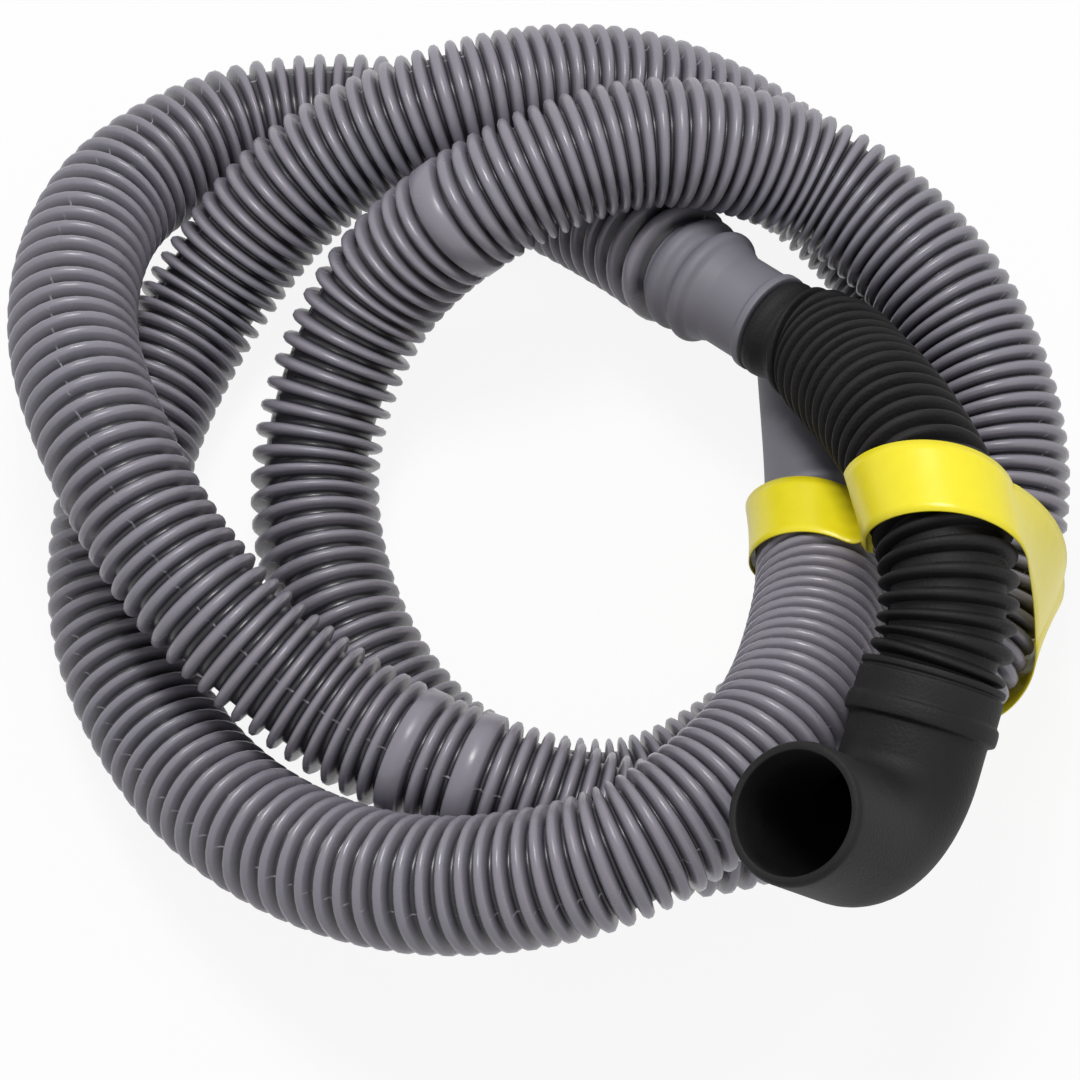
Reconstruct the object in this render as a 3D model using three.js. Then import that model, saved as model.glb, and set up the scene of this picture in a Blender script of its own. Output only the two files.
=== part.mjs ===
// Coiled washing machine drain hose: a grey corrugated hose with a moulded cuff at each end,
// a black rubber connector hose with a rubber elbow on one cuff, and a yellow band round the bundle.
// Millimetres, +Z up. The coil lies on z = 0, and the photograph looks down on it from the -Y side.

import * as THREE from 'three';

// Grey hose, plain here: its ribs are a matter of looks, and their crests set the outside
const hoseCrest = 33;
const hoseWall = 3.3;
const hoseSides = 12;
const hoseSteps = 78;

// Moulded cuffs, measured from the open rim towards the hose
const rimDiameter = 26.5;
const rimLength = 2.8;
const jointBarrelDiameter = 24.6;
const jointBarrelLength = 14.2;
const freeBarrelDiameter = 26.6;
const freeBarrelLength = 56;
const cuffWall = 2;
const coneLength = 2.8;
const beadDiameter = 30.8;
const beadGroove = 27.4;
const beadPitch = 6.9;
const beadCount = 2;
const cuffSides = 24;

// Black rubber connector hose
const connectorCrest = 33;
const connectorRoot = 29.4;
const ribPitch = 4.7;
const spigotDiameter = 26.4;
const neckDiameter = 24;
const spigotLength = 8;
const risingRibs = 3;
const firstRibDrop = 4;
const noseLength = 11;
const noseWall = 1.4;
const connectorSides = 16;

// Rubber elbow
const collarDiameter = 34.6;
const collarLength = 8.4;
const collarRingLength = 1.4;
const collarRingGroove = 33.4;
const collarGrooveSlope = 0.3;
const collarGrooveWidth = 0.6;
const elbowBeadDiameter = 36.4;
const elbowBeadLength = 5;
const elbowDiameter = 33;
const elbowWall = 2.3;
const collarWall = 4.1;
const socketDepth = 12;
const lipRadius = 1.2;
const bendRadius = 21;
const inletLeg = 42;
const mouthLeg = 48;
const elbowSides = 28;

// Yellow band
const bandWidth = 19;
const bandThickness = 0.4;
const bandLift = 1.1;
const bandBendLift = 2.4;
const bandFloorLift = 0.9;
const bandStep = 15;
const bandStretch = 8;

// Distances along the strands where the band meets and leaves each of them
const bandOntoFreeEnd = 1829;
const bandOffFreeEnd = 1820;
const bandOntoConnector = 98;
const bandOffConnector = 111;
const bandOntoOuterStrand = 590;
const bandOffOuterStrand = 574;
const bandOntoInnerStrand = 1100;
const bandOffInnerStrand = 1106;

// Longest straight edge along a bent piece
const longestEdge = 4.5;

// Fits
const faceGap = 0.3;
const fitGap = 0.4;

// Bores that follow from an outside and its wall
const hoseBore = hoseCrest - 2 * hoseWall;
const elbowBore = elbowDiameter - 2 * elbowWall;
const collarBore = collarDiameter - 2 * collarWall;
const noseDiameter = jointBarrelDiameter - 2 * (cuffWall + fitGap);
const connectorBore = noseDiameter - 2 * noseWall;

// Route of the grey hose's centre line, from the joint with the connector to its free end
const hoseRoute = [
  [58.5, 50.5, 50], [38.8, 68.5, 42], [24.9, 84.7, 31], [7, 101.7, 19.5], [-34.5, 125, 17.5], [-79.5, 123, 18.5],
  [-111, 96, 29], [-118.5, 55, 45], [-106.5, 13, 57.5], [-84, -24, 56.5], [-50, -52, 48.5],
  [-9, -72.5, 50], [34.5, -81.5, 45.5], [75, -64.5, 39], [104.5, -30.5, 38.5], [115.5, 11.5, 46],
  [103.5, 55, 51.5], [72, 87.5, 54.5], [30.5, 93.5, 66.5], [-11, 81, 62], [-43, 62.5, 37],
  [-57.5, 25, 19.5], [-49, -20, 17], [-21.5, -55, 17], [21, -65.5, 17], [59, -44.5, 17.5],
  [86.5, -8.5, 18], [101, 34.5, 17.5], [93.5, 78.5, 18], [63.5, 109, 25.5], [23.5, 119.5, 44.5],
  [-19.5, 113, 51], [-59.5, 98.5, 38], [-88.5, 69.5, 19], [-105.5, 27.5, 17], [-107.5, -17, 18],
  [-89.5, -56.5, 26], [-60, -85.5, 43], [-22.5, -101, 63.5], [19.5, -97.5, 79], [52, -71.5, 77],
  [67.5, -31, 59], [69.7, 11.3, 38.3], [69.9, 55.1, 13.5],
];

// Route of the connector between the grey hose's cuff and the elbow
const connectorRoute = [
  [70.8, 40.2, 56.5], [78, 25.7, 68], [84.7, 8.8, 82], [91.8, -14.5, 95], [95, -33, 97.5],
];

// Elbow: where its two axes cross, and where each of them points
const elbowCorner = new THREE.Vector3(79.6, -97.2, 80.3);
const inletDirection = new THREE.Vector3(-0.284, -0.92, -0.271).normalize();
const mouthAim = new THREE.Vector3(-0.495, -0.1, 0.863);

const colours = { grey: '#6d6a74', cuff: '#716f77', black: '#1d1c1d', yellow: '#f2e21c' };

const toVectors = (rows) => rows.map(([x, y, z]) => new THREE.Vector3(x, y, z));

// A smooth line through the points, measured finely
function smoothLine(points) {
  const line = new THREE.CatmullRomCurve3(points);
  line.arcLengthDivisions = 1600;
  return line;
}

// The part of a line between two distances along it
class Stretch extends THREE.Curve {
  constructor(line, from, to) {
    super();
    this.line = line;
    this.from = from / line.getLength();
    this.to = to / line.getLength();
  }

  getPoint(t, target = new THREE.Vector3()) {
    return this.line.getPointAt(THREE.MathUtils.lerp(this.from, this.to, t), target);
  }
}

// The elbow's axis: a straight leg, a quarter circle and a straight leg
class ElbowAxis extends THREE.Curve {
  constructor(corner, inlet, mouth) {
    super();
    this.corner = corner;
    this.inlet = inlet;
    this.mouth = mouth;
    this.firstLeg = inletLeg - bendRadius;
    this.arc = bendRadius * Math.PI / 2;
    this.total = this.firstLeg + this.arc + mouthLeg - bendRadius;
  }

  getPoint(t, target = new THREE.Vector3()) {
    const distance = t * this.total;
    if (distance < this.firstLeg) {
      return target.copy(this.corner).addScaledVector(this.inlet, distance - inletLeg);
    }
    if (distance > this.firstLeg + this.arc) {
      const past = distance - this.firstLeg - this.arc + bendRadius;
      return target.copy(this.corner).addScaledVector(this.mouth, past);
    }
    const angle = (distance - this.firstLeg) / bendRadius;
    return target.copy(this.corner)
      .addScaledVector(this.inlet, bendRadius * (Math.sin(angle) - 1))
      .addScaledVector(this.mouth, bendRadius * (1 - Math.cos(angle)));
  }
}

// A point and direction at a distance along a line, going on straight past its ends
function placeOn(line, distance) {
  const length = line.getLength();
  const share = THREE.MathUtils.clamp(distance / length, 0, 1);
  const along = line.getTangentAt(share);
  const centre = line.getPointAt(share).addScaledVector(along, distance - share * length);
  return { centre, along };
}

// A closed outline with its long edges cut into shorter ones, so that they can follow a bend
function finely(outline) {
  return outline.flatMap(([distance, radius], i) => {
    const [nextDistance, nextRadius] = outline[(i + 1) % outline.length];
    const parts = Math.max(1, Math.ceil(Math.abs(nextDistance - distance) / longestEdge));
    return Array.from({ length: parts }, (_, k) => [
      THREE.MathUtils.lerp(distance, nextDistance, k / parts),
      THREE.MathUtils.lerp(radius, nextRadius, k / parts),
    ]);
  });
}

// Turns a closed outline of [distance, radius] pairs into a round body and lays it along a line
function turnedAlong(outline, line, start, sides, across) {
  const fine = finely(outline);
  const ring = [...fine, fine[0]].map(([distance, radius]) => new THREE.Vector2(radius, distance));
  const geometry = new THREE.LatheGeometry(ring, sides);
  const position = geometry.attributes.position;
  for (let i = 0; i < position.count; i += 1) {
    const { centre, along } = placeOn(line, start + position.getY(i));
    const first = across.clone().addScaledVector(along, -across.dot(along)).normalize();
    const second = first.clone().cross(along);
    centre.addScaledVector(first, position.getX(i)).addScaledVector(second, position.getZ(i));
    position.setXYZ(i, centre.x, centre.y, centre.z);
  }
  geometry.computeVertexNormals();
  return geometry;
}

// One rounded rib between two grooves, without the groove that follows it
function rib(start, length, groove, crest) {
  const rise = (crest - groove) / 2;
  return [
    [start, groove / 2],
    [start + length * 0.16, groove / 2 + rise * 0.75],
    [start + length * 0.36, crest / 2],
    [start + length * 0.64, crest / 2],
    [start + length * 0.84, groove / 2 + rise * 0.75],
  ];
}

// Ribs in a row; where there is a drop, the first few of them rise to the full height
function ribs(start, count, length, groove, crest, drop = 0) {
  return Array.from({ length: count }, (_, i) => {
    const lower = drop * Math.max(0, 1 - i / risingRibs);
    return rib(start + i * length, length, groove - lower, crest - lower);
  }).flat();
}

// A cuff's closed outline, from its open rim to the face that meets the hose
function cuffOutline(barrelDiameter, barrelLength) {
  const barrel = barrelDiameter / 2;
  const bore = barrel - cuffWall;
  const beadStart = barrelLength + coneLength;
  const end = beadStart + beadCount * beadPitch;
  return [
    [0, rimDiameter / 2],
    [rimLength * 0.7, rimDiameter / 2],
    [rimLength, Math.min(barrel, rimDiameter / 2)],
    [barrelLength, barrel],
    ...ribs(beadStart, beadCount, beadPitch, beadGroove, beadDiameter),
    [end, beadGroove / 2 + faceGap],
    [end, hoseBore / 2],
    [beadStart, hoseBore / 2 - cuffWall / 2],
    [barrelLength, bore],
    [0, bore],
  ];
}

const cuffLength = (barrelLength) => barrelLength + coneLength + beadCount * beadPitch;

// The connector's closed outline, with a nose for the cuff at one end and for the elbow at the other
function connectorOutline(length) {
  const nose = noseDiameter / 2;
  const ribStart = spigotLength;
  const count = Math.floor((length - ribStart) / ribPitch);
  const ribLength = (length - ribStart) / count;
  const tail = collarBore / 2 - fitGap;
  return [
    [-noseLength, nose],
    [faceGap, nose],
    [faceGap, neckDiameter / 2],
    [faceGap * 3, spigotDiameter / 2],
    [ribStart * 0.6, spigotDiameter / 2],
    [ribStart * 0.8, neckDiameter / 2],
    ...ribs(ribStart, count, ribLength, connectorRoot, connectorCrest, firstRibDrop),
    [length, connectorRoot / 2],
    [length, tail],
    [length + socketDepth - faceGap * 2, tail],
    [length + socketDepth - faceGap * 2, connectorBore / 2],
    [-noseLength, connectorBore / 2],
  ];
}

// The elbow's closed outline, from the collar's open end to the mouth
function elbowOutline(total) {
  const grooveStart = collarRingLength + collarGrooveSlope;
  const beadStart = collarLength;
  const beadEnd = beadStart + elbowBeadLength;
  const bead = rib(beadStart, elbowBeadLength, collarDiameter, elbowBeadDiameter).slice(1);
  const throat = socketDepth + (elbowBore - collarBore) / 2;
  return [
    [0, collarDiameter / 2],
    [collarRingLength, collarDiameter / 2],
    [grooveStart, collarRingGroove / 2],
    [grooveStart + collarGrooveWidth, collarRingGroove / 2],
    [grooveStart + collarGrooveWidth + collarGrooveSlope, collarDiameter / 2],
    [beadStart, collarDiameter / 2],
    ...bead,
    [beadEnd, elbowDiameter / 2],
    [total - lipRadius, elbowDiameter / 2],
    [total - lipRadius * 0.3, elbowDiameter / 2 - lipRadius * 0.3],
    [total, elbowDiameter / 2 - lipRadius * 0.6],
    [total, elbowBore / 2],
    [throat, elbowBore / 2],
    [socketDepth, connectorBore / 2],
    [socketDepth - faceGap, connectorBore / 2],
    [socketDepth - faceGap, collarBore / 2],
    [0, collarBore / 2],
  ];
}

// The band's stations: arcs round the strands that it wraps, joined by straight stretches
function bandStations(wraps) {
  return wraps.flatMap(({ line, radius, from, to, angles }) => {
    const steps = Math.max(1, Math.round(Math.abs(angles[1] - angles[0]) / bandStep));
    return Array.from({ length: steps + 1 }, (_, i) => {
      const share = i / steps;
      const angle = THREE.MathUtils.degToRad(THREE.MathUtils.lerp(angles[0], angles[1], share));
      const { centre, along } = placeOn(line, THREE.MathUtils.lerp(from, to, share));
      const outward = new THREE.Vector3(Math.cos(angle), 0, Math.sin(angle));
      outward.addScaledVector(along, -outward.dot(along)).normalize();
      centre.addScaledVector(outward, radius);
      return { centre, outward };
    });
  });
}

// The same stations with more of them on the straight stretches, where the band turns evenly
function evenly(stations) {
  return stations.flatMap(({ centre, outward }, i) => {
    const next = stations[(i + 1) % stations.length];
    const parts = Math.max(1, Math.round(centre.distanceTo(next.centre) / bandStretch));
    return Array.from({ length: parts }, (_, k) => ({
      centre: centre.clone().lerp(next.centre, k / parts),
      outward: outward.clone().lerp(next.outward, k / parts).normalize(),
    }));
  });
}

// A thin closed ribbon through the stations, four corners at each
function ribbon(stations, width, thickness) {
  const count = stations.length;
  const corners = [];
  stations.forEach(({ centre, outward }, i) => {
    const next = stations[(i + 1) % count].centre;
    const previous = stations[(i + count - 1) % count].centre;
    const run = next.clone().sub(previous).normalize();
    const across = outward.clone().cross(run).normalize();
    const up = run.clone().cross(across);
    for (const [side, lift] of [[-1, 0], [1, 0], [1, 1], [-1, 1]]) {
      corners.push(centre.clone().addScaledVector(across, side * width / 2)
        .addScaledVector(up, lift * thickness));
    }
  });
  const triangles = [];
  for (let i = 0; i < count; i += 1) {
    const here = i * 4;
    const there = ((i + 1) % count) * 4;
    for (const [k, next] of [[0, 1], [1, 2], [3, 0]]) {
      triangles.push(here + k, here + next, there + next, here + k, there + next, there + k);
    }
    // The upper face is cut along the same diagonal as the lower one, so that the tape keeps its thickness
    triangles.push(here + 2, here + 3, there + 2, here + 3, there + 3, there + 2);
  }
  const geometry = new THREE.BufferGeometry().setFromPoints(corners);
  geometry.setIndex(triangles);
  geometry.computeVertexNormals();
  return geometry;
}

function addPiece(group, name, geometry, color, roughness) {
  const material = new THREE.MeshStandardMaterial({ color, roughness, metalness: 0 });
  const mesh = new THREE.Mesh(geometry, material);
  mesh.name = name;
  group.add(mesh);
}

const mouthDirection = mouthAim.clone()
  .addScaledVector(inletDirection, -mouthAim.dot(inletDirection)).normalize();
const inletPoint = (distance) => elbowCorner.clone().addScaledVector(inletDirection, distance);

const hoseLine = smoothLine(toVectors(hoseRoute));
const freeEndLine = smoothLine(toVectors([...hoseRoute].reverse()));
const hoseLength = hoseLine.getLength();
const jointCuffLength = cuffLength(jointBarrelLength);
const freeCuffLength = cuffLength(freeBarrelLength);

// The connector's line starts inside the cuff, on the hose's own line, and ends in the elbow's collar
const insideCuff = placeOn(hoseLine, noseLength).centre;
const connectorLine = smoothLine([
  insideCuff,
  hoseLine.getPoint(0),
  placeOn(hoseLine, -spigotLength).centre,
  ...toVectors(connectorRoute),
  inletPoint(-inletLeg - socketDepth * 0.75),
  inletPoint(-inletLeg),
  inletPoint(socketDepth - inletLeg),
]);
const connectorStart = insideCuff.distanceTo(hoseLine.getPoint(0));
const connectorLength = connectorLine.getLength() - connectorStart - socketDepth - faceGap;

const group = new THREE.Group();

// Grey hose, a plain tube whose outside is the ribs' crest
const hoseSection = new THREE.Shape();
const hoseHole = new THREE.Path();
for (let i = 0; i < hoseSides; i += 1) {
  const angle = 2 * Math.PI * i / hoseSides;
  const corner = (diameter, turn) => [diameter / 2 * Math.cos(turn), diameter / 2 * Math.sin(turn)];
  hoseSection[i ? 'lineTo' : 'moveTo'](...corner(hoseCrest, angle));
  hoseHole[i ? 'lineTo' : 'moveTo'](...corner(hoseBore, -angle));
}
hoseSection.holes.push(hoseHole);
const hoseStretch = new Stretch(hoseLine, jointCuffLength + faceGap, hoseLength - freeCuffLength - faceGap);
const hoseTube = new THREE.ExtrudeGeometry(hoseSection, { steps: hoseSteps, extrudePath: hoseStretch });
addPiece(group, 'drain_hose', hoseTube, colours.grey, 0.45);

// The two cuffs and what is fitted to the first one
const sideways = new THREE.Vector3(1, 0, 0);
const jointCuff = turnedAlong(cuffOutline(jointBarrelDiameter, jointBarrelLength), hoseLine, 0, cuffSides, sideways);
addPiece(group, 'joint_cuff', jointCuff, colours.cuff, 0.6);
const freeCuff = turnedAlong(cuffOutline(freeBarrelDiameter, freeBarrelLength), freeEndLine, 0, cuffSides, sideways);
addPiece(group, 'free_cuff', freeCuff, colours.cuff, 0.6);

const connector = turnedAlong(
  connectorOutline(connectorLength), connectorLine, connectorStart, connectorSides, sideways,
);
addPiece(group, 'connector_hose', connector, colours.black, 0.7);

const elbowAxis = new ElbowAxis(elbowCorner, inletDirection, mouthDirection);
const elbowAcross = inletDirection.clone().cross(mouthDirection);
const elbow = turnedAlong(elbowOutline(elbowAxis.total), elbowAxis, 0, elbowSides, elbowAcross);
addPiece(group, 'rubber_elbow', elbow, colours.black, 0.7);

// The band goes over the free end, over the connector, down the outer strand and under the inner one
const hoseRadius = hoseCrest / 2;
const bandWraps = [
  {
    line: hoseLine, radius: hoseRadius + bandLift,
    from: bandOntoFreeEnd, to: bandOffFreeEnd, angles: [212, 128],
  },
  {
    line: connectorLine, radius: connectorCrest / 2 + bandBendLift,
    from: bandOntoConnector, to: bandOffConnector, angles: [165, 20],
  },
  {
    line: hoseLine, radius: hoseRadius + bandLift,
    from: bandOntoOuterStrand, to: bandOffOuterStrand, angles: [20, -49],
  },
  {
    line: hoseLine, radius: hoseRadius + bandFloorLift,
    from: bandOntoInnerStrand, to: bandOffInnerStrand, angles: [-49, -158],
  },
];
const band = ribbon(evenly(bandStations(bandWraps)), bandWidth, bandThickness);
addPiece(group, 'wrap_band', band, colours.yellow, 0.4);

// The origin is under the middle of the whole part, where it lies
const extent = new THREE.Box3().setFromObject(group);
const middle = extent.getCenter(new THREE.Vector3());
for (const mesh of group.children) {
  mesh.geometry.translate(-middle.x, -middle.y, -extent.min.z);
}

export default group;
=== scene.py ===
import math
import bpy
import numpy as np
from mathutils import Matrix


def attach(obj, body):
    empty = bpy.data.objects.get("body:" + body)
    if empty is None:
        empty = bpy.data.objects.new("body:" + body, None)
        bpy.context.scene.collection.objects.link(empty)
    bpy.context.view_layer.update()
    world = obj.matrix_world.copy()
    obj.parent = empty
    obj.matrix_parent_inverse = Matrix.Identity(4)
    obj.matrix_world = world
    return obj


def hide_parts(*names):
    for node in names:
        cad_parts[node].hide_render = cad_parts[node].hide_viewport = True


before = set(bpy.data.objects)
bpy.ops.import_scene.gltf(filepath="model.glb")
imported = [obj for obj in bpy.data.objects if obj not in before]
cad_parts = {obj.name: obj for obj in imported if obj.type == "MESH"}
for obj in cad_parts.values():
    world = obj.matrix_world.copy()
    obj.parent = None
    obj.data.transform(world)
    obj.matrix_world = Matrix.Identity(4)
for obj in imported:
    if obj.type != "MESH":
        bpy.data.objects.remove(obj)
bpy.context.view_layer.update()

print("frame loaded:", len(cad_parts), "nodes")

mm = 0.001
partOrigin = np.array([1.60842, -12.59423, 0.10344])  # added to a route's millimetres, it gives the part's

# The photograph's camera in degrees and millimetres. Its focal length is in pixels, as its frame's width is.
view = {"elevation": 68, "distance": 1000, "aim": (0, 0, 30), "sensor": 36, "focalLength": 3970,
        "frameWidth": 1080, "nearClip": 50}

tilt = math.radians(view["elevation"])
aim = np.array(view["aim"]) + partOrigin
eye = aim + view["distance"] * np.array([0, -math.cos(tilt), math.sin(tilt)])
cameraData = bpy.data.cameras.new("photoCamera")
cameraData.lens = view["sensor"] * view["focalLength"] / view["frameWidth"]
cameraData.sensor_width = view["sensor"]
cameraData.clip_start = view["nearClip"] * mm
camera = bpy.data.objects.new("photoCamera", cameraData)
camera.location = eye * mm
camera.rotation_euler = (math.pi / 2 - tilt, 0, 0)
bpy.context.scene.collection.objects.link(camera)
bpy.context.scene.camera = camera

# Centre line of the grey hose, in millimetres, from the joint to its free end
hoseRoute = [
    (58.5, 50.5, 50), (38.8, 68.5, 42), (24.9, 84.7, 31), (7, 101.7, 19.5), (-34.5, 125, 17.5),
    (-79.5, 123, 18.5), (-111, 96, 29), (-118.5, 55, 45), (-106.5, 13, 57.5), (-84, -24, 56.5),
    (-50, -52, 48.5), (-9, -72.5, 50), (34.5, -81.5, 45.5), (75, -64.5, 39), (104.5, -30.5, 38.5),
    (115.5, 11.5, 46), (103.5, 55, 51.5), (72, 87.5, 54.5), (30.5, 93.5, 66.5), (-11, 81, 62),
    (-43, 62.5, 37), (-57.5, 25, 19.5), (-49, -20, 17), (-21.5, -55, 17), (21, -65.5, 17),
    (59, -44.5, 17.5), (86.5, -8.5, 18), (101, 34.5, 17.5), (93.5, 78.5, 18), (63.5, 109, 25.5),
    (23.5, 119.5, 44.5), (-19.5, 113, 51), (-59.5, 98.5, 38), (-88.5, 69.5, 19), (-105.5, 27.5, 17),
    (-107.5, -17, 18), (-89.5, -56.5, 26), (-60, -85.5, 43), (-22.5, -101, 63.5), (19.5, -97.5, 79),
    (52, -71.5, 77), (67.5, -31, 59), (69.7, 11.3, 38.3), (69.9, 55.1, 13.5),
]

# Centre line of the black connector, from the grey hose's cuff to the elbow
connectorRoute = [(70.8, 40.2, 56.5), (78, 25.7, 68), (84.7, 8.8, 82), (91.8, -14.5, 95), (95, -33, 97.5)]


def unit(vectors):
    # Each vector divided by its own length
    return vectors / np.linalg.norm(vectors, axis=-1, keepdims=True)


def smoothLine(points, steps=60):
    # A smooth line through the points: between two of them a cubic, whose end slopes weigh the neighbours
    # by the root of their distances. Past the first and last point a mirrored one is taken.
    points = np.asarray(points, float)
    points = np.vstack([2 * points[0] - points[1], points, 2 * points[-1] - points[-2]])
    gap = np.sqrt(np.linalg.norm(np.diff(points, axis=0), axis=1))[:, None]
    a, b, c, d = points[:-3], points[1:-2], points[2:-1], points[3:]
    before, here, after = gap[:-2], gap[1:-1], gap[2:]
    slopeIn = ((b - a) / before - (c - a) / (before + here) + (c - b) / here) * here
    slopeOut = ((c - b) / here - (d - b) / (here + after) + (d - c) / after) * here
    b, c, slopeIn, slopeOut = (v[:, None] for v in (b, c, slopeIn, slopeOut))
    t = (np.arange(steps) / steps)[None, :, None]
    squared = (3 * (c - b) - 2 * slopeIn - slopeOut) * t**2
    cubed = (2 * (b - c) + slopeIn + slopeOut) * t**3
    line = np.vstack([(b + slopeIn * t + squared + cubed).reshape(-1, 3), points[-2]])
    at = np.r_[0, np.cumsum(np.linalg.norm(np.diff(line, axis=0), axis=1))]
    return {"points": line, "at": at, "along": unit(np.gradient(line, at, axis=0)), "length": at[-1]}


def placeOn(line, distance):
    # Points and directions at distances along a line, straight on past its ends
    distance = np.asarray(distance, float)
    inside = np.clip(distance, 0, line["length"])
    point, along = (np.stack([np.interp(inside, line["at"], line[key][:, k]) for k in range(3)], -1)
                    for key in ("points", "along"))
    along = unit(along)
    return point + along * (distance - inside)[..., None], along


def ribsBetween(edges, groove, crest, stations, heights):
    # Distances and radii of one rib between each two edges, without the last edge. A station is a share of
    # the way between the edges, and its radius is the groove's plus its height times the rise to the crest.
    edges, groove, crest, stations, heights = (np.atleast_1d(np.asarray(values, float))
                                               for values in (edges, groove, crest, stations, heights))
    distance = edges[:-1, None] + np.diff(edges)[:, None] * stations
    radius = groove[:, None] / 2 + (crest - groove)[:, None] / 2 * heights
    return np.stack([distance, np.broadcast_to(radius, distance.shape)], -1).reshape(-1, 2)


def lobe(count, flatness, fullness):
    # Stations and heights of a rounded bead: 1 less the distance from its middle to the power of flatness,
    # and what that leaves to the power of fullness
    across = np.linspace(0, 1, count, endpoint=False)
    return across, (1 - np.abs(2 * across - 1) ** flatness) ** fullness


def softened(outline, radius=0.5, longest=3.0, points=4):
    # A closed outline with each corner rounded by a parabola, and its long edges cut into shorter ones. The
    # rounding takes no more than two fifths of an edge from each end.
    corner = np.asarray(outline, float)

    def towards(other):
        reach = np.minimum(radius, 0.4 * np.linalg.norm(other - corner, axis=1))
        return corner + unit(other - corner) * reach[:, None]

    start, end = (towards(np.roll(corner, shift, axis=0))[:, None] for shift in (1, -1))
    t = np.linspace(0, 1, points)[None, :, None]
    rounded = (1 - t) ** 2 * start + 2 * t * (1 - t) * corner[:, None] + t**2 * end
    rounded = rounded.reshape(-1, 2)
    edge = np.roll(rounded, -1, axis=0) - rounded
    parts = np.maximum(1, np.ceil(np.abs(edge[:, 0]) / longest)).astype(int)
    index = np.repeat(np.arange(len(rounded)), parts)
    share = (np.arange(parts.sum()) - np.repeat(np.cumsum(parts) - parts, parts)) / parts[index]
    return rounded[index] + edge[index] * share[:, None]


def carried(outline, line, start, sides, up=(0, 0, 1)):
    # A round profile carried along a line: centre + radius (cos angle side + sin angle lift), where side is
    # up x along, and lift is along x side
    centre, along = placeOn(line, start + outline[:, 0])
    side = unit(np.cross(up, along))
    lift = np.cross(along, side)
    angle = np.linspace(0, 2 * np.pi, sides, endpoint=False)[None, :, None]
    around = np.cos(angle) * side[:, None] + np.sin(angle) * lift[:, None]
    return centre[:, None] + outline[:, 1][:, None, None] * around


def makePiece(name, grid, material, node, loop=True, turn=None, marks=None):
    # A grid of points as a closed mesh: its columns close on themselves, its rows too if loop is set, and
    # otherwise a cap closes each end. In the UV map the first coordinate is the mean way travelled from row
    # to row, in metres, and the second the share of the way round, less the row's turn. Each of marks is
    # stored as an attribute with one value for a row.
    rows, columns = grid.shape[:2]
    i, j = np.meshgrid(np.arange(rows if loop else rows - 1), np.arange(columns), indexing="ij")
    i, j = i.ravel(), j.ravel()
    after, beside = (i + 1) % rows, (j + 1) % columns
    quads = np.stack([i * columns + j, i * columns + beside,
                      after * columns + beside, after * columns + j], -1)
    points = (grid.reshape(-1, 3) + partOrigin) * mm

    # Faces that enclose a negative volume point inwards, and are turned round
    a, b, c, d = (points[quads[:, k]] for k in range(4))
    turnedIn = np.sum((np.cross(b - a, c - a) + np.cross(c - a, d - a)) * a) < 0
    faces = (quads[:, ::-1] if turnedIn else quads).tolist()
    if not loop:
        ends = [np.arange(columns)[::-1], (rows - 1) * columns + np.arange(columns)]
        faces += [(end[::-1] if turnedIn else end).tolist() for end in ends]
    mesh = bpy.data.meshes.new(name)
    mesh.from_pydata(points.tolist(), [], faces)
    mesh.polygons.foreach_set("use_smooth", np.arange(len(faces)) < len(quads))

    closed = np.concatenate([grid, grid[:1]])
    travel = np.r_[0, np.cumsum(np.linalg.norm(np.diff(closed, axis=0), axis=-1).mean(1))] * mm
    turn = np.zeros(rows) if turn is None else turn
    u = np.stack([travel[i], travel[i], travel[i + 1], travel[i + 1]], -1)
    v = np.stack([j, j + 1, j + 1, j], -1) / columns
    v = v - np.stack([turn[i], turn[i], turn[after], turn[after]], -1)
    if turnedIn:
        u, v = u[:, ::-1], v[:, ::-1]
    uv = np.zeros((len(mesh.loops), 2))
    uv[:u.size] = np.stack([u.ravel(), v.ravel()], -1)
    mesh.uv_layers.new(name="surface").data.foreach_set("uv", uv.ravel())
    for key, values in (marks or {}).items():
        spread = np.broadcast_to(np.asarray(values, float)[:, None], (rows, columns))
        mesh.attributes.new(key, "FLOAT", "POINT").data.foreach_set("value", spread.ravel())
    mesh.validate()
    mesh.materials.append(material)
    piece = bpy.data.objects.new(name, mesh)
    bpy.context.scene.collection.objects.link(piece)
    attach(piece, "root")
    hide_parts(node)
    print("made", name, len(faces), "faces")
    return piece


def linear(hexText):
    # sRGB hex to linear colour
    value = np.array([int(hexText[k:k + 2], 16) for k in (1, 3, 5)]) / 255
    return (*np.where(value <= 0.04045, value / 12.92, ((value + 0.055) / 1.055) ** 2.4), 1)


def addNode(tree, kind, inputs=None, **settings):
    # One node with its settings. An input is a value, or the socket that feeds it.
    node = tree.nodes.new(kind)
    for key, value in settings.items():
        setattr(node, key, value)
    for key, value in (inputs or {}).items():
        if isinstance(value, bpy.types.NodeSocket):
            tree.links.new(value, node.inputs[key])
        else:
            node.inputs[key].default_value = value
    return node


def newMaterial(name, ior, specular=0.5):
    # A material, its node tree and shader, and the Object coordinates that its patterns read
    material = bpy.data.materials.new(name)
    material.use_nodes = True
    tree = material.node_tree
    shader = tree.nodes["Principled BSDF"]
    shader.inputs["IOR"].default_value = ior
    shader.inputs["Specular IOR Level"].default_value = specular
    place = addNode(tree, "ShaderNodeTexCoord").outputs["Object"]
    return material, tree, shader, place


# A finish gives the size of each of its patterns in millimetres. 1000 over that size is the pattern's
# scale, since Object coordinates are metres. The finest grains are drawn a little coarser than the real
# ones, so that they show.


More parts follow.
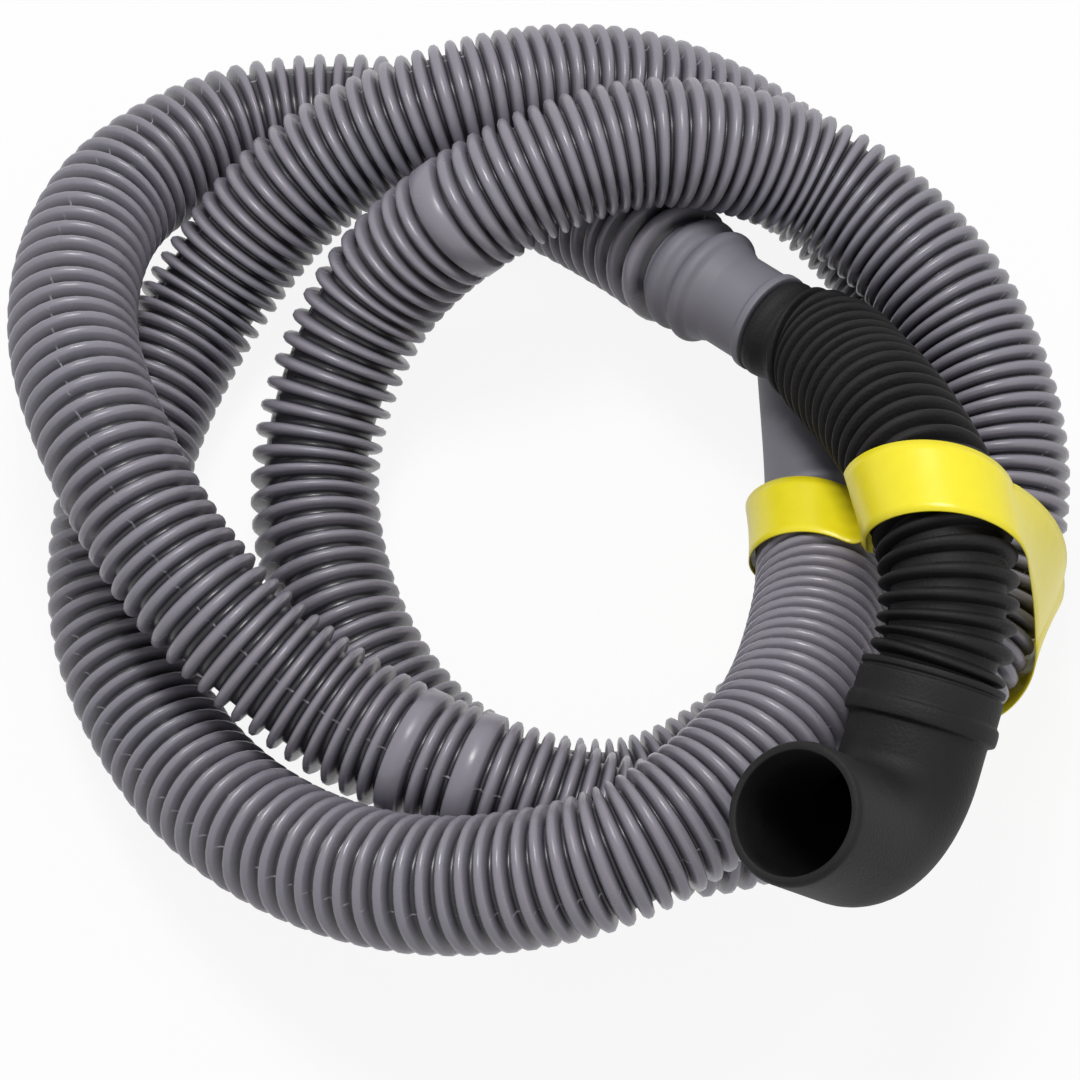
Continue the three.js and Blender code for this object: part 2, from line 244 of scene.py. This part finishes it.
def blowMouldedPolypropylene():
    # Blow-moulded polypropylene: a satin skin with a pale nick on many ribs where the mould's halves met. The
    # groove colour is painted shade where the ribs fold in, not the plastic's own, and it turns to the
    # crest's colour between the two rib heights listed after it.
    finish = {"crest": "#86848e", "crestWarm": "#86818b", "groove": "#302f35", "nick": "#9a97a0",
              "ior": 1.49, "roughness": 0.3, "glossier": 0.06, "duller": 0.1, "grooveShadeHeights": (0.1, 0.85),
              "cloud": 38, "speck": 2.4, "smear": 9, "skin": 1.6, "skinDepth": 0.06, "nickHeight": 0.3,
              "nickFade": (0.0015, 0.004), "nickSides": (0.9, 0.5), "nickChance": (0.44, 0.62)}
    material, tree, shader, place = newMaterial("blowMouldedPolypropylene", finish["ior"])
    height = addNode(tree, "ShaderNodeAttribute", attribute_name="ribHeight").outputs["Fac"]
    surface = addNode(tree, "ShaderNodeUVMap", uv_map="surface").outputs["UV"]
    split = addNode(tree, "ShaderNodeSeparateXYZ", {"Vector": surface})
    cloud = addNode(tree, "ShaderNodeTexNoise", {"Vector": place, "Scale": 1000 / finish["cloud"],
                                                 "Detail": 2.0})
    tone = addNode(tree, "ShaderNodeMix", {0: cloud.outputs["Fac"], 6: linear(finish["crest"]),
                                           7: linear(finish["crestWarm"])}, data_type="RGBA")
    # Painted shade: the dark groove colour low on each rib, fading up to the crest's own colour
    rise = addNode(tree, "ShaderNodeMapRange", {"Value": height, "From Min": finish["grooveShadeHeights"][0],
                                                "From Max": finish["grooveShadeHeights"][1]})
    body = addNode(tree, "ShaderNodeMix", {0: rise.outputs["Result"], 6: linear(finish["groove"]),
                                           7: tone.outputs[2]}, data_type="RGBA")

    # The nick is near the parting line, where the map's second coordinate is whole, on the sides of a rib,
    # and where the fine specks let it be. nickFade is in shares of the way round, nickSides in heights.
    seam = addNode(tree, "ShaderNodeMath", {0: split.outputs["Y"]}, operation="WRAP")
    seam.inputs[1].default_value, seam.inputs[2].default_value = 0.5, -0.5
    away = addNode(tree, "ShaderNodeMath", {0: seam.outputs[0]}, operation="ABSOLUTE")
    near = addNode(tree, "ShaderNodeMapRange", {"Value": away.outputs[0], "From Min": finish["nickFade"][0],
                                                "From Max": finish["nickFade"][1],
                                                "To Min": 1.0, "To Max": 0.0})
    speck = addNode(tree, "ShaderNodeTexNoise", {"Vector": place, "Scale": 1000 / finish["speck"],
                                                 "Detail": 1.0})
    chance = addNode(tree, "ShaderNodeMapRange", {"Value": speck.outputs["Fac"],
                                                  "From Min": finish["nickChance"][0],
                                                  "From Max": finish["nickChance"][1]})
    side = addNode(tree, "ShaderNodeMapRange", {"Value": height, "From Min": finish["nickSides"][0],
                                                "From Max": finish["nickSides"][1]})
    spot = addNode(tree, "ShaderNodeMath", {0: near.outputs["Result"], 1: side.outputs["Result"]},
                   operation="MULTIPLY")
    nick = addNode(tree, "ShaderNodeMath", {0: spot.outputs[0], 1: chance.outputs["Result"]},
                   operation="MULTIPLY")
    paint = addNode(tree, "ShaderNodeMix", {0: nick.outputs[0], 6: body.outputs[2],
                                            7: linear(finish["nick"])}, data_type="RGBA")
    tree.links.new(paint.outputs[2], shader.inputs["Base Color"])

    smear = addNode(tree, "ShaderNodeTexNoise", {"Vector": place, "Scale": 1000 / finish["smear"],
                                                 "Detail": 4.0})
    gloss = addNode(tree, "ShaderNodeMapRange", {"Value": smear.outputs["Fac"],
                                                 "From Min": 0.3, "From Max": 0.7,
                                                 "To Min": finish["roughness"] - finish["glossier"],
                                                 "To Max": finish["roughness"] + finish["duller"]})
    tree.links.new(gloss.outputs["Result"], shader.inputs["Roughness"])
    skin = addNode(tree, "ShaderNodeTexNoise", {"Vector": place, "Scale": 1000 / finish["skin"],
                                                "Detail": 3.0})
    bump = addNode(tree, "ShaderNodeBump", {"Height": skin.outputs["Fac"], "Strength": 0.35,
                                            "Distance": finish["skinDepth"] * mm})
    flash = addNode(tree, "ShaderNodeBump", {"Height": nick.outputs[0], "Strength": 0.6,
                                             "Distance": finish["nickHeight"] * mm,
                                             "Normal": bump.outputs["Normal"]})
    tree.links.new(flash.outputs["Normal"], shader.inputs["Normal"])
    return material


def mouldedCuffPolypropylene():
    # Injection-moulded polypropylene of the cuffs: the same grey with a fine matte grain
    finish = {"plain": "#7d7b84", "worn": "#6f6d75", "ior": 1.49, "roughness": 0.58, "cloud": 14,
              "grain": 0.9, "grainDepth": 0.08}
    material, tree, shader, place = newMaterial("mouldedCuffPolypropylene", finish["ior"])
    cloud = addNode(tree, "ShaderNodeTexNoise", {"Vector": place, "Scale": 1000 / finish["cloud"],
                                                 "Detail": 3.0})
    tone = addNode(tree, "ShaderNodeMix", {0: cloud.outputs["Fac"], 6: linear(finish["plain"]),
                                           7: linear(finish["worn"])}, data_type="RGBA")
    tree.links.new(tone.outputs[2], shader.inputs["Base Color"])
    shader.inputs["Roughness"].default_value = finish["roughness"]
    grain = addNode(tree, "ShaderNodeTexNoise", {"Vector": place, "Scale": 1000 / finish["grain"],
                                                 "Detail": 2.0})
    bump = addNode(tree, "ShaderNodeBump", {"Height": grain.outputs["Fac"], "Strength": 0.4,
                                            "Distance": finish["grainDepth"] * mm})
    tree.links.new(bump.outputs["Normal"], shader.inputs["Normal"])
    return material


def mouldedRubber():
    # Moulded EPDM rubber: nearly black and matte, with a grey bloom in patches and a fine eroded grain
    finish = {"deep": "#121112", "bloom": "#232122", "ior": 1.5, "specular": 0.22, "roughness": 0.6,
              "glossier": 0.12, "duller": 0.14, "patch": 18, "patchEdge": (0.35, 0.75), "grain": 0.8,
              "grainDepth": 0.2}
    material, tree, shader, place = newMaterial("mouldedRubber", finish["ior"], finish["specular"])
    cloud = addNode(tree, "ShaderNodeTexNoise", {"Vector": place, "Scale": 1000 / finish["patch"],
                                                 "Detail": 4.0, "Roughness": 0.6})
    patch = addNode(tree, "ShaderNodeMapRange", {"Value": cloud.outputs["Fac"],
                                                 "From Min": finish["patchEdge"][0],
                                                 "From Max": finish["patchEdge"][1]})
    tone = addNode(tree, "ShaderNodeMix", {0: patch.outputs["Result"], 6: linear(finish["deep"]),
                                           7: linear(finish["bloom"])}, data_type="RGBA")
    tree.links.new(tone.outputs[2], shader.inputs["Base Color"])
    gloss = addNode(tree, "ShaderNodeMapRange", {"Value": cloud.outputs["Fac"],
                                                 "To Min": finish["roughness"] - finish["glossier"],
                                                 "To Max": finish["roughness"] + finish["duller"]})
    tree.links.new(gloss.outputs["Result"], shader.inputs["Roughness"])
    grain = addNode(tree, "ShaderNodeTexNoise", {"Vector": place, "Scale": 1000 / finish["grain"],
                                                 "Detail": 3.0})
    bump = addNode(tree, "ShaderNodeBump", {"Height": grain.outputs["Fac"], "Strength": 0.8,
                                            "Distance": finish["grainDepth"] * mm})
    tree.links.new(bump.outputs["Normal"], shader.inputs["Normal"])
    return material


def extrudedVinylTape():
    # Extruded vinyl tape: clear bright yellow with a soft gloss and faint pulls across it. Its own map is
    # stretched, so that they lie about 4 mm apart along the tape.
    finish = {"plain": "#f8ea26", "pulled": "#f0df1e", "ior": 1.53, "roughness": 0.34,
              "stretch": (90.0, 3.0, 1.0), "pullScale": 3.0, "pullDepth": 0.2}
    material, tree, shader, _ = newMaterial("extrudedVinylTape", finish["ior"])
    surface = addNode(tree, "ShaderNodeUVMap", uv_map="surface").outputs["UV"]
    stretch = addNode(tree, "ShaderNodeMapping", {"Vector": surface, "Scale": finish["stretch"]})
    pull = addNode(tree, "ShaderNodeTexNoise", {"Vector": stretch.outputs["Vector"],
                                                "Scale": finish["pullScale"], "Detail": 3.0})
    tone = addNode(tree, "ShaderNodeMix", {0: pull.outputs["Fac"], 6: linear(finish["plain"]),
                                           7: linear(finish["pulled"])}, data_type="RGBA")
    tree.links.new(tone.outputs[2], shader.inputs["Base Color"])
    shader.inputs["Roughness"].default_value = finish["roughness"]
    bump = addNode(tree, "ShaderNodeBump", {"Height": pull.outputs["Fac"], "Strength": 0.3,
                                            "Distance": finish["pullDepth"] * mm})
    tree.links.new(bump.outputs["Normal"], shader.inputs["Normal"])
    return material


hosePlastic, cuffPlastic = blowMouldedPolypropylene(), mouldedCuffPolypropylene()
rubber, tape = mouldedRubber(), extrudedVinylTape()
print("materials made")

# The two cuffs, in millimetres. rimFlat is the share of the rim's length that is straight, and cornerRadius
# rounds the corners of the outline.
cuff = {"rim": 26.5, "rimLength": 2.8, "rimFlat": 0.8, "wall": 2, "cone": 2.8, "bead": 30.8,
        "beadGroove": 27.0, "beadPitch": 6.9, "beads": 2, "bore": 26.4, "jointBarrel": 24.6,
        "jointBarrelLength": 14.2, "freeBarrel": 26.6, "freeBarrelLength": 56, "cornerRadius": 0.45,
        "sides": 64, "beadStations": (0, 0.1, 0.2, 0.3, 0.42, 0.5, 0.58, 0.7, 0.8, 0.9),
        "beadHeights": (0, 0.04, 0.36, 0.8, 0.98, 1, 0.98, 0.8, 0.36, 0.04)}


def cuffOutline(barrel, barrelLength):
    # Closed outline of distance and radius, from the open rim over the beads and back through the bore
    start = barrelLength + cuff["cone"]
    edges = start + cuff["beadPitch"] * np.arange(cuff["beads"] + 1)
    beads = ribsBetween(edges, cuff["beadGroove"], cuff["bead"], cuff["beadStations"], cuff["beadHeights"])
    outside = [(0, cuff["rim"] / 2), (cuff["rimLength"] * cuff["rimFlat"], cuff["rim"] / 2),
               (cuff["rimLength"], min(barrel, cuff["rim"]) / 2), (barrelLength, barrel / 2)]
    inside = [(edges[-1], cuff["beadGroove"] / 2), (edges[-1], cuff["bore"] / 2),
              (start, cuff["bore"] / 2 - cuff["wall"] / 2), (barrelLength, barrel / 2 - cuff["wall"]),
              (0, barrel / 2 - cuff["wall"])]
    return softened(np.vstack([outside, beads, inside]), cuff["cornerRadius"]), edges[-1]


hoseLine, freeEndLine = smoothLine(hoseRoute), smoothLine(hoseRoute[::-1])
print("hose line:", round(hoseLine["length"]), "mm")
jointOutline, jointCuffLength = cuffOutline(cuff["jointBarrel"], cuff["jointBarrelLength"])
jointCuff = makePiece("jointCuff", carried(jointOutline, hoseLine, 0, cuff["sides"]), cuffPlastic,
                      "joint_cuff")
freeOutline, freeCuffLength = cuffOutline(cuff["freeBarrel"], cuff["freeBarrelLength"])
freeCuff = makePiece("freeCuff", carried(freeOutline, freeEndLine, 0, cuff["sides"]), cuffPlastic,
                     "free_cuff")

# The grey hose, in millimetres. firstRibs are the pitches of its first ribs, plainBands the places along it
# of the three bands without ribs, and gap is left at each cuff. A shape gives a rib's stations as shares of
# its own width, and ribShare and bandShare say how wide it is at least, as shares of the pitch.
hose = {"crest": 33, "groove": 26.4, "firstRibs": (7.0, 6.4, 5.6, 5.3), "sides": 32, "pathPoints": 400,
        "plainBands": (418.9, 434.9, 813.5), "plainBand": 7.6, "gap": 0.3, "ribWidth": 3.1,
        "ribShare": 0.62, "bandShare": 0.86, "ribShape": (0, 0.13, 0.35, 0.65, 0.87, 1),
        "bandShape": (0, 0.06, 0.14, 0.86, 0.94, 1), "heights": (0, 0, 0.74, 1, 1, 0.74, 0)}

# From rib to rib in millimetres, by distance along the hose: the coil opens and closes the ribs
pitches = {40: 5.3, 115: 4.7, 173: 5.0, 238: 5.4, 268: 5.4, 298: 4.9, 343: 4.6, 393: 5.0, 423: 4.5,
           438: 4.1, 513: 4.3, 633: 3.75, 693: 4.0, 733: 4.1, 773: 3.75, 808: 3.7, 833: 4.8, 863: 5.35,
           893: 5.4, 933: 5.1, 963: 5.4, 1043: 4.6, 1193: 3.85, 1253: 4.2, 1333: 3.75, 1373: 4.2,
           1433: 4.45, 1493: 4.7, 1553: 5.1, 1593: 5.45, 1615: 5.6, 1640: 5.2, 1665: 4.85, 1690: 4.15,
           1715: 3.7, 1765: 3.65, 1812: 4.0}

# Where the mould's parting line lies, in degrees round the hose, by distance along it
partings = {0: 150, 250: 105, 420: 115, 900: 150, 1300: 120, 1560: 140, 1700: 140, 1900: 150}


def ribEdges(start, end, samples=800):
    # Edges of whole ribs between two distances: one over the pitch is summed along them, and the sum is
    # divided evenly into the nearest whole number of ribs
    along = np.linspace(start, end, samples)
    pitch = np.interp((along[1:] + along[:-1]) / 2, list(pitches), list(pitches.values()))
    ribs = np.r_[0, np.cumsum(np.diff(along) / pitch)]
    return np.interp(np.linspace(0, ribs[-1], round(ribs[-1]) + 1), ribs, along)


hoseStart = jointCuffLength + hose["gap"]
hoseEnd = hoseLine["length"] - freeCuffLength - hose["gap"]
firstEdges = hoseStart + np.r_[0, np.cumsum(hose["firstRibs"])]
bandEdges = np.ravel([(at - hose["plainBand"] / 2, at + hose["plainBand"] / 2) for at in hose["plainBands"]])
stretches = np.r_[firstEdges[-1], bandEdges, hoseEnd].reshape(-1, 2)
hoseEdges = np.concatenate([firstEdges[:-1], *(ribEdges(*stretch) for stretch in stretches)])
isBand = np.isin(hoseEdges[:-1], bandEdges[::2])[:, None]

# A rib keeps its width where the hose is squeezed or stretched, and the groove takes the rest of the pitch
pitch = np.diff(hoseEdges)[:, None]
share = np.maximum(hose["ribWidth"] / pitch, np.where(isBand, hose["bandShare"], hose["ribShare"]))
shape = np.where(isBand, hose["bandShape"], hose["ribShape"])
ribStations = np.hstack([0 * pitch, (1 - share) / 2 + share * shape])
hoseOutline = ribsBetween(hoseEdges, hose["groove"], hose["crest"], ribStations, hose["heights"])
hoseOutline = np.vstack([hoseOutline, [hoseEdges[-1], hose["groove"] / 2]])
ribHeight = (hoseOutline[:, 1] * 2 - hose["groove"]) / (hose["crest"] - hose["groove"])
parting = np.interp(hoseOutline[:, 0], list(partings), list(partings.values())) / 360
drainHose = makePiece("drainHose", carried(hoseOutline, hoseLine, 0, hose["sides"]), hosePlastic,
                      "drain_hose", loop=False, turn=parting, marks={"ribHeight": ribHeight})

# The connector, in millimetres. spigotSwell gives the spigot's bulge as distances from the cuff's rim and
# what is added to its radius there, and neckAt and notch the short neck before the first rib. The first ribs
# are smaller: firstDrop is taken off the first crest, less off the next ones, and grooveShare of that off
# the grooves. leadIn is how far before the collar its line meets the elbow's axis.
connector = {"crest": 33, "groove": 26.8, "bore": 17, "pitch": 4.7, "spigot": 26.4, "neck": 24,
             "spigotLength": 8, "spigotSwell": ((1.0, -0.3), (2.6, 0), (4.2, -0.2)), "neckAt": 6.4,
             "notch": 0.4, "nose": 11, "noseRadius": 9.9, "tailRadius": 12.8, "socket": 12, "leadIn": 9,
             "gap": 0.3, "cornerRadius": 0.25, "sides": 64, "firstDrop": 4, "rising": 3, "grooveShare": 0.6,
             "ribStations": (0, 0.19, 0.24, 0.31, 0.4, 0.5, 0.6, 0.69, 0.76, 0.81),
             "ribHeights": (0, 0, 0.4, 0.78, 0.96, 1, 0.96, 0.78, 0.4, 0)}

# The elbow, in millimetres. Its two straight axes meet at corner, and a leg is the way from there to a rim.
# From the collar's rim on, ringGroove gives the edges of the shallow groove round the collar, socketEnd is
# where the socket ends, and from ledge to throat the connector's bore widens to the elbow's own. lip is the
# length and the depth of the mouth's rounded edge.
elbow = {"corner": (79.6, -97.2, 80.3), "inlet": (-0.284, -0.92, -0.271), "mouthAim": (-0.495, -0.1, 0.863),
         "collar": 34.6, "collarLength": 8.4, "ringGroove": (1.4, 1.7, 2.3, 2.6), "ringDepth": 0.7,
         "bead": 36.4, "beadLength": 5, "beadPoints": 9, "beadFlatness": 3.0, "beadFullness": 0.55,
         "tube": 33, "bore": 28.4, "collarBore": 26.4, "lip": (1.2, 0.7), "socketEnd": 11.7, "ledge": 12,
         "throat": 13, "bend": 21, "inletLeg": 42, "mouthLeg": 48, "cornerRadius": 0.5, "longestEdge": 1.6,
         "axisPoints": 400, "sides": 96}

inlet = unit(np.array(elbow["inlet"]))
mouth = np.array(elbow["mouthAim"])
mouth = unit(mouth - mouth @ inlet * inlet)
corner = np.array(elbow["corner"])

# The connector's line runs from its nose in the cuff to its nose in the elbow's collar
insideCuff = placeOn(hoseLine, [connector["nose"]])[0][0]
pastCuff = placeOn(hoseLine, [-connector["spigotLength"]])[0][0]
onInlet = [corner + inlet * (d - elbow["inletLeg"]) for d in (-connector["leadIn"], 0, connector["socket"])]
connectorLine = smoothLine([insideCuff, hoseRoute[0], pastCuff, *connectorRoute, *onInlet])
cuffRimAt = np.linalg.norm(insideCuff - np.array(hoseRoute[0]))
length = connectorLine["length"] - cuffRimAt - connector["socket"] - connector["gap"]
count = int((length - connector["spigotLength"]) // connector["pitch"])
connectorEdges = np.linspace(connector["spigotLength"], length, count + 1)
lower = connector["firstDrop"] * np.maximum(0, 1 - np.arange(count) / connector["rising"])
ribs = ribsBetween(connectorEdges, connector["groove"] - connector["grooveShare"] * lower,
                   connector["crest"] - lower, connector["ribStations"], connector["ribHeights"])
tailEnd = length + connector["socket"] - 2 * connector["gap"]
spigot, neck = connector["spigot"] / 2, connector["neck"] / 2
before = [(-connector["nose"], connector["noseRadius"]), (connector["gap"], connector["noseRadius"]),
          (connector["gap"], neck), *((at, spigot + added) for at, added in connector["spigotSwell"]),
          (connector["neckAt"], neck), (connectorEdges[0] - connector["notch"], neck - connector["notch"])]
after = [(length, connector["groove"] / 2), (length, connector["tailRadius"]),
         (tailEnd, connector["tailRadius"]), (tailEnd, connector["bore"] / 2),
         (-connector["nose"], connector["bore"] / 2)]
connectorOutline = softened(np.vstack([before, ribs, after]), connector["cornerRadius"])
connectorGrid = carried(connectorOutline, connectorLine, cuffRimAt, connector["sides"], (1, 0, 0))
connectorHose = makePiece("connectorHose", connectorGrid, rubber, "connector_hose")

# The elbow's axis in words: straight on to the bend, a quarter circle, and straight on to the mouth
legs = elbow["inletLeg"] - elbow["bend"], elbow["bend"] * np.pi / 2, elbow["mouthLeg"] - elbow["bend"]
total = sum(legs)
distance = np.linspace(0, total, elbow["axisPoints"])
angle = np.clip((distance - legs[0]) / elbow["bend"], 0, np.pi / 2)
inShare = elbow["bend"] * (np.sin(angle) - 1) + np.minimum(distance - legs[0], 0)
outShare = elbow["bend"] * (1 - np.cos(angle)) + np.maximum(distance - legs[0] - legs[1], 0)
axisPoints = corner + inShare[:, None] * inlet + outShare[:, None] * mouth
elbowLine = {"points": axisPoints, "at": distance, "along": unit(np.gradient(axisPoints, distance, axis=0)),
             "length": total}

collarRadius, tubeRadius, boreRadius = elbow["collar"] / 2, elbow["tube"] / 2, elbow["bore"] / 2
narrowRadius = connector["bore"] / 2
beadEnd = elbow["collarLength"] + elbow["beadLength"]
ringRadii = collarRadius, collarRadius - elbow["ringDepth"], collarRadius - elbow["ringDepth"], collarRadius
lipLength, lipDepth = elbow["lip"]
bead = ribsBetween([elbow["collarLength"], beadEnd], elbow["collar"], elbow["bead"],
                   *lobe(elbow["beadPoints"], elbow["beadFlatness"], elbow["beadFullness"]))[1:]
elbowOutline = np.vstack([
    [(0, collarRadius), *zip(elbow["ringGroove"], ringRadii), (elbow["collarLength"], collarRadius)],
    bead,
    [(beadEnd, tubeRadius), (total - lipLength, tubeRadius), (total, tubeRadius - lipDepth)],
    [(total, boreRadius), (elbow["throat"], boreRadius), (elbow["ledge"], narrowRadius)],
    [(elbow["socketEnd"], narrowRadius), (elbow["socketEnd"], elbow["collarBore"] / 2)],
    [(0, elbow["collarBore"] / 2)],
])
elbowOutline = softened(elbowOutline, elbow["cornerRadius"], elbow["longestEdge"])
elbowGrid = carried(elbowOutline, elbowLine, 0, elbow["sides"], tuple(np.cross(inlet, mouth)))
rubberElbow = makePiece("rubberElbow", elbowGrid, rubber, "rubber_elbow")

# The tape band, in millimetres and degrees. A lift is how far the tape's inner face runs outside a strand's
# ribs, valley and intoValley are the radius of the small hollow beside the free end and how far on its middle
# lies, bow is how far the tape bows out on the right, and turn how much of its face it turns to the front.
band = {"width": 19, "thickness": 0.4, "lift": 1.1, "bendLift": 1.5, "floorLift": 0.9, "stationTurn": 5,
        "spacing": 1.2, "valley": 3.5, "intoValley": 0.8, "valleyTurn": 120, "valleyPoints": 13, "bow": 3.2,
        "turn": 0.28, "bowPoints": 11, "acrossPoints": 9, "smoothing": (1, 3, 4, 3, 1)}
hoseRadius, connectorRadius = hose["crest"] / 2, connector["crest"] / 2

# Each strand that the tape wraps: between which distances along it, and between which angles round it, from
# +X up towards +Z
wraps = [
    {"line": hoseLine, "radius": hoseRadius + band["lift"], "at": (1827, 1810), "turned": (212, 70)},
    {"line": connectorLine, "radius": connectorRadius + band["bendLift"], "at": (98, 112),
     "turned": (190, 20)},
    {"line": hoseLine, "radius": hoseRadius + band["lift"], "at": (590, 574), "turned": (20, -49)},
    {"line": hoseLine, "radius": hoseRadius + band["floorLift"], "at": (1100, 1106), "turned": (-49, -158)},
]


def wrapStations(line, radius, at, turned):
    # Stations on an arc round a strand: centre + radius times the outward direction, square to the strand.
    # The distance along the strand and the turn round it run evenly from their first value to their last.
    share = np.linspace(0, 1, max(2, round(abs(turned[1] - turned[0]) / band["stationTurn"])))
    turn = np.radians(turned[0] + (turned[1] - turned[0]) * share)
    centre, along = placeOn(line, at[0] + (at[1] - at[0]) * share)
    outward = np.stack([np.cos(turn), 0 * turn, np.sin(turn)], -1)
    outward = unit(outward - np.sum(outward * along, -1, keepdims=True) * along)
    return np.hstack([centre + radius * outward, outward])


def hollowAfter(stations):
    # Where the tape leaves the free end it turns up in a small hollow before it climbs the connector: a
    # circle's centre is set above the last station, and the stations on it turn by valleyTurn
    last, outward = stations[-1, :3], stations[-1, 3:]
    run = unit(last - stations[-2, :3])
    turn = np.radians(np.linspace(0, band["valleyTurn"], band["valleyPoints"]))[:, None]
    towards = outward * np.cos(turn) - run * np.sin(turn)
    middle = last + band["intoValley"] * run + band["valley"] * outward
    return np.hstack([middle - band["valley"] * towards, towards])


def bowBetween(first, last):
    # From the connector down to the outer strand the stiff tape bows out and turns its face to the front:
    # half a sine wave over the straight way
    share = np.linspace(0, 1, band["bowPoints"])[1:-1, None]
    bow = first + (last - first) * share
    bow[:, :3] += band["bow"] * np.sin(np.pi * share) * unit(bow[:, 3:])
    bow[:, 4:5] -= band["turn"] * np.sin(np.pi * share)
    return bow


free, over, outer, under = (wrapStations(**wrap) for wrap in wraps)
stations = np.vstack([free, hollowAfter(free), over, bowBetween(over[-1], outer[0]), outer, under, free[:1]])
travel = np.r_[0, np.cumsum(np.linalg.norm(np.diff(stations[:, :3], axis=0), axis=1))]
even = np.linspace(0, travel[-1], round(travel[-1] / band["spacing"]), endpoint=False)
stations = np.stack([np.interp(even, travel, stations[:, k]) for k in range(6)], -1)

# A short running mean takes the creases out of the straight stretches
weights = np.array(band["smoothing"]) / sum(band["smoothing"])
reach = len(weights) // 2
stations = sum(weight * np.roll(stations, k, axis=0) for k, weight in zip(range(-reach, reach + 1), weights))

centre, outward = stations[:, :3], unit(stations[:, 3:])
ahead = np.roll(centre, -1, axis=0) - np.roll(centre, 1, axis=0)
acrossBand = unit(np.cross(outward, ahead))
outward = unit(np.cross(ahead, acrossBand))
sideways = np.linspace(-1, 1, band["acrossPoints"])
sideways = np.r_[sideways, sideways[::-1]][None, :, None] * band["width"] / 2
lift = np.repeat([band["thickness"], 0], band["acrossPoints"])[None, :, None]
bandGrid = centre[:, None] + acrossBand[:, None] * sideways + outward[:, None] * lift
wrapBand = makePiece("wrapBand", bandGrid, tape, "wrap_band")

print("pieces made")

# The white paper ground, the white studio round it, and two lamps, in metres. drop keeps the paper clear of
# the hose, and glow is how much of the paper's own white the camera sees in place of its shading.
ground = {"halfWidth": 3, "drop": 0.0002, "colour": "#f4f3f4", "glow": 0.9, "strength": 1.0}
studio = {"ambient": 0.4, "background": 1.0}
lamps = {
    "key": {"at": (-0.06, 0.28, 1.0), "size": 0.3, "power": 6.5},
    "fill": {"at": (0.7, -0.5, 0.6), "size": 0.8, "power": 1.0},
}
lampAim = np.array([0, 0, 0.04])


def seenRays(tree):
    # 1 for what the camera sees directly, in a gloss or through something, and 0 for light on matte surfaces
    rays = addNode(tree, "ShaderNodeLightPath")
    seen = rays.outputs["Is Camera Ray"]
    for kind in ("Is Glossy Ray", "Is Transmission Ray"):
        wider = addNode(tree, "ShaderNodeMath", {0: seen, 1: rays.outputs[kind]}, operation="MAXIMUM")
        seen = wider.outputs[0]
    return seen


def whitePaper():
    # White coated paper under flash: matte, and washed out to an even white where it is looked at
    material = bpy.data.materials.new("whitePaper")
    material.use_nodes = True
    tree = material.node_tree
    tree.nodes.remove(tree.nodes["Principled BSDF"])
    matte = addNode(tree, "ShaderNodeBsdfDiffuse", {"Color": linear(ground["colour"])})
    glow = addNode(tree, "ShaderNodeEmission", {"Color": (1, 1, 1, 1), "Strength": ground["strength"]})
    mix = addNode(tree, "ShaderNodeMath", {0: seenRays(tree), 1: ground["glow"]}, operation="MULTIPLY")
    blend = addNode(tree, "ShaderNodeMixShader", {0: mix.outputs[0], 1: matte.outputs[0], 2: glow.outputs[0]})
    tree.links.new(blend.outputs[0], tree.nodes["Material Output"].inputs["Surface"])
    return material


floorMesh = bpy.data.meshes.new("floor")
floorCorners = [(x * ground["halfWidth"], y * ground["halfWidth"], -ground["drop"])
                for x, y in ((-1, -1), (1, -1), (1, 1), (-1, 1))]
floorMesh.from_pydata(floorCorners, [], [(0, 1, 2, 3)])
floorMesh.materials.append(whitePaper())
floor = bpy.data.objects.new("floor", floorMesh)
bpy.context.scene.collection.objects.link(floor)

world = bpy.data.worlds.new("studio")
world.use_nodes = True
bpy.context.scene.world = world
worldTree = world.node_tree
level = addNode(worldTree, "ShaderNodeMapRange", {"Value": seenRays(worldTree), "To Min": studio["ambient"],
                                                  "To Max": studio["background"]})
worldTree.links.new(level.outputs["Result"], worldTree.nodes["Background"].inputs["Strength"])
worldTree.nodes["Background"].inputs["Color"].default_value = (1, 1, 1, 1)

for name, lamp in lamps.items():
    data = bpy.data.lights.new(name, "AREA")
    data.size, data.energy = lamp["size"], lamp["power"]
    light = bpy.data.objects.new(name, data)
    light.location = lamp["at"]
    toTarget = lampAim - np.array(lamp["at"])
    light.rotation_euler = (math.acos(-toTarget[2] / np.linalg.norm(toTarget)), 0,
                            math.atan2(toTarget[1], toTarget[0]) - math.pi / 2)
    bpy.context.scene.collection.objects.link(light)

bpy.context.scene.view_settings.view_transform = "Standard"

print("scene ready")
